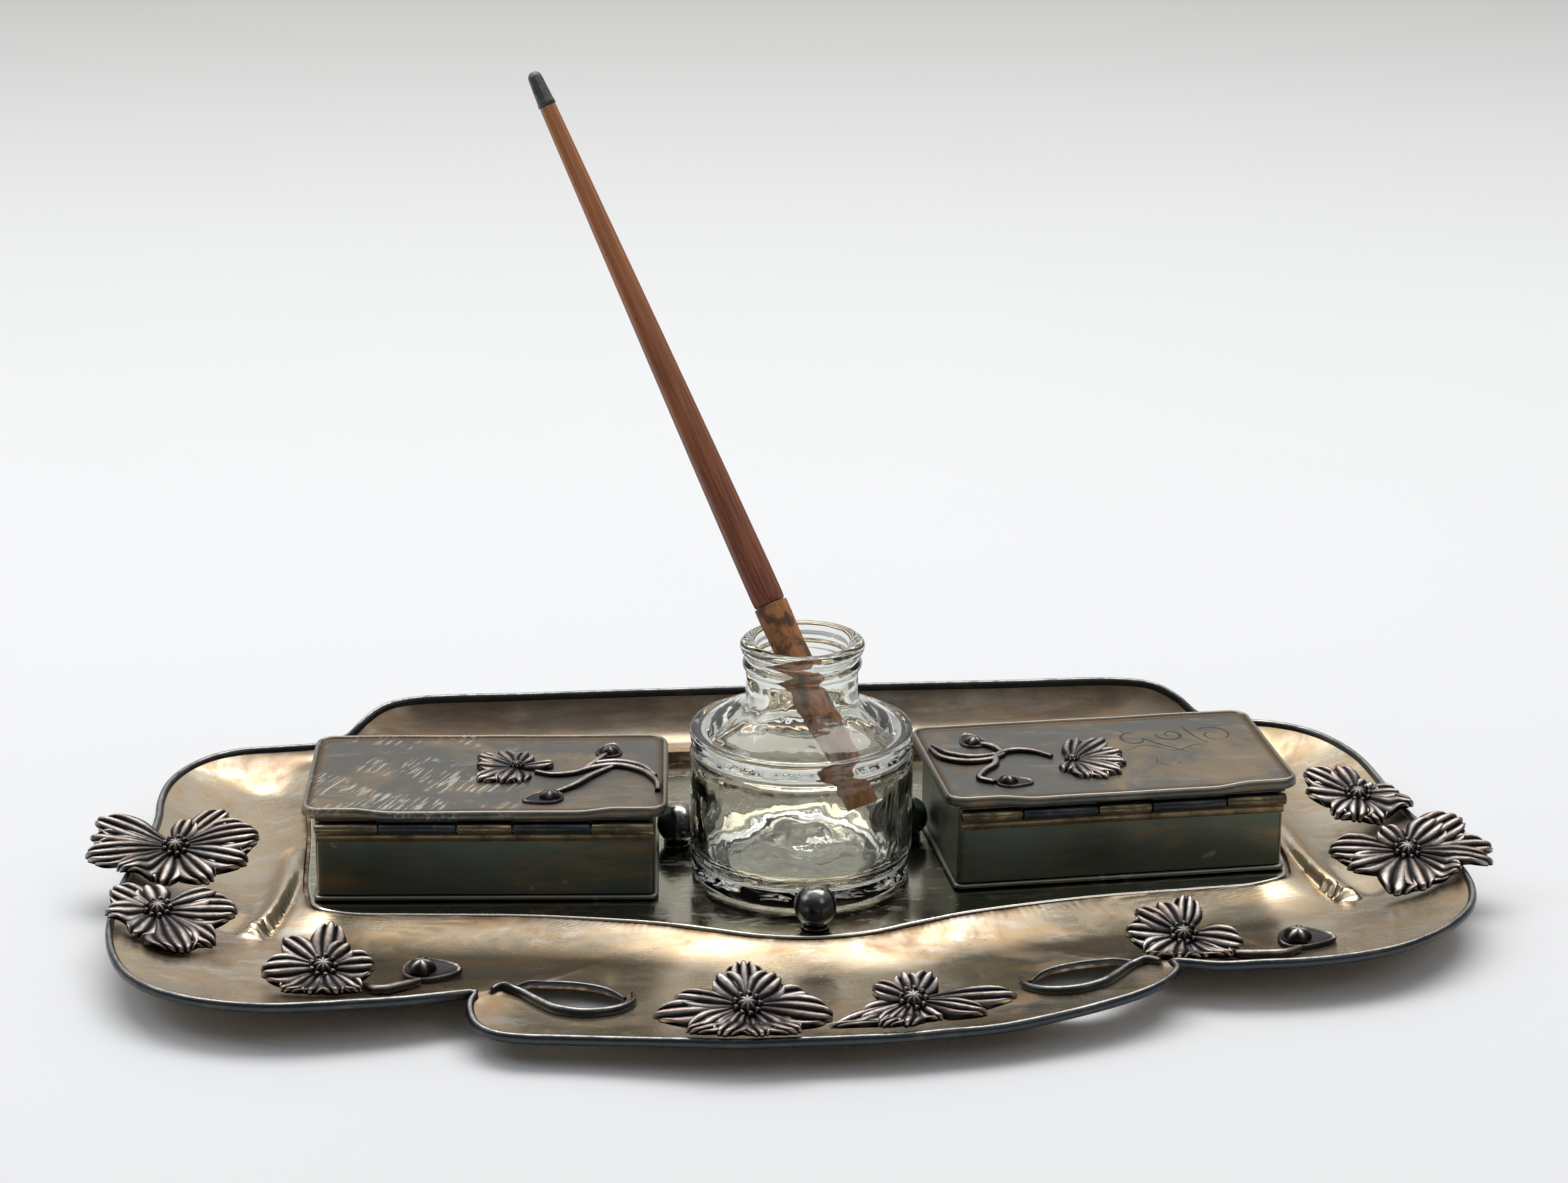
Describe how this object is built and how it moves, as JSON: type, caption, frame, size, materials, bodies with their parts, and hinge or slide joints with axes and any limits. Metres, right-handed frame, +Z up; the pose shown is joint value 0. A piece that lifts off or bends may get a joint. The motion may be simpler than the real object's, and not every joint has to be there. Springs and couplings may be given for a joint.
{
  "type": "inkwell",
  "caption": "Inkstand: plated tray with cast flowers, pen trough and wired rim, carrying a glass ink bottle, a wooden pen and stamp boxes with hinged lids.",
  "frame": {"origin": "middle of the whole footprint, on the table that the feet stand on", "axes": "+X along the tray to the writer's right, +Y to the back where the pen trough and tall rail are, +Z up"},
  "size_m": [0.3276, 0.185, 0.1857],
  "materials": {
    "worn_plate": "worn silver plate, satin, brassy where it is thin",
    "mirror_plate": "silver plate, nearly mirror bright",
    "dark_plate": "tarnished silver plate, dark in the hollows",
    "box_plate": "dull blackened silver plate",
    "lid_plate": "dull silver plate, streaked and scratched",
    "cast_ornament": "cast and tarnished, bright on the high spots",
    "hinge_brass": "worn brass",
    "bottle_glass": "clear moulded glass, faint grey green",
    "pen_wood": "stained and varnished, worn on the edges",
    "bare_wood": "bare wood, ink stained",
    "pen_cap": "dull dark metal"
  },
  "bodies": {
    "root": {"tray": "worn_plate", "rim_bead": "dark_plate", "platform_plate": "mirror_plate", "left_tab_scroll": "dark_plate", "left_front_foot": "dark_plate", "left_back_foot": "dark_plate", "left_end_flower": "cast_ornament", "left_end_leaves": "cast_ornament", "left_wing_spray": "cast_ornament", "right_tab_scroll": "dark_plate", "right_front_foot": "dark_plate", "right_back_foot": "dark_plate", "right_end_flower": "cast_ornament", "right_end_leaves": "cast_ornament", "right_wing_spray": "cast_ornament", "front_daisy": "cast_ornament", "front_small_flower": "cast_ornament", "front_ball_stud": "dark_plate", "right_ball_stud": "dark_plate", "left_ball_stud": "dark_plate", "left_box_walls": "box_plate", "left_box_floor": "box_plate", "left_hinge_fixed_leaf": "hinge_brass", "left_hinge_pin": "dark_plate", "right_box_walls": "box_plate", "right_box_floor": "box_plate", "right_hinge_fixed_leaf": "hinge_brass", "right_hinge_pin": "dark_plate"},
    "left_lid": {"left_lid": "lid_plate", "left_lid_relief": "cast_ornament", "left_hinge_lid_leaf": "hinge_brass"},
    "right_lid": {"right_lid": "lid_plate", "right_lid_relief": "cast_ornament", "right_hinge_lid_leaf": "hinge_brass"},
    "bottle": {"glass_bottle": "bottle_glass"},
    "pen": {"pen_tenon": "bare_wood", "pen_holder": "pen_wood", "pen_tip_cap": "pen_cap"}
  },
  "joints": [
    {"name": "left_lid_hinge", "type": "hinge", "parent": "root", "child": "left_lid", "pos_m": [-0.0728, -0.01211, 0.0266], "axis": [0.9974, -0.0715, 0], "range_deg": [0, 100]},
    {"name": "right_lid_hinge", "type": "hinge", "parent": "root", "child": "right_lid", "pos_m": [0.07569, -0.01211, 0.0266], "axis": [0.9974, 0.0715, 0], "range_deg": [0, 100]},
    {"name": "bottle_lift", "type": "slide", "parent": "root", "child": "bottle", "axis": [0, 0, 1], "range_m": [0, 0.06]},
    {"name": "pen_draw", "type": "slide", "parent": "bottle", "child": "pen", "axis": [-0.3727, 0.4227, 0.8261], "range_m": [0, 0.04]}
  ]
}
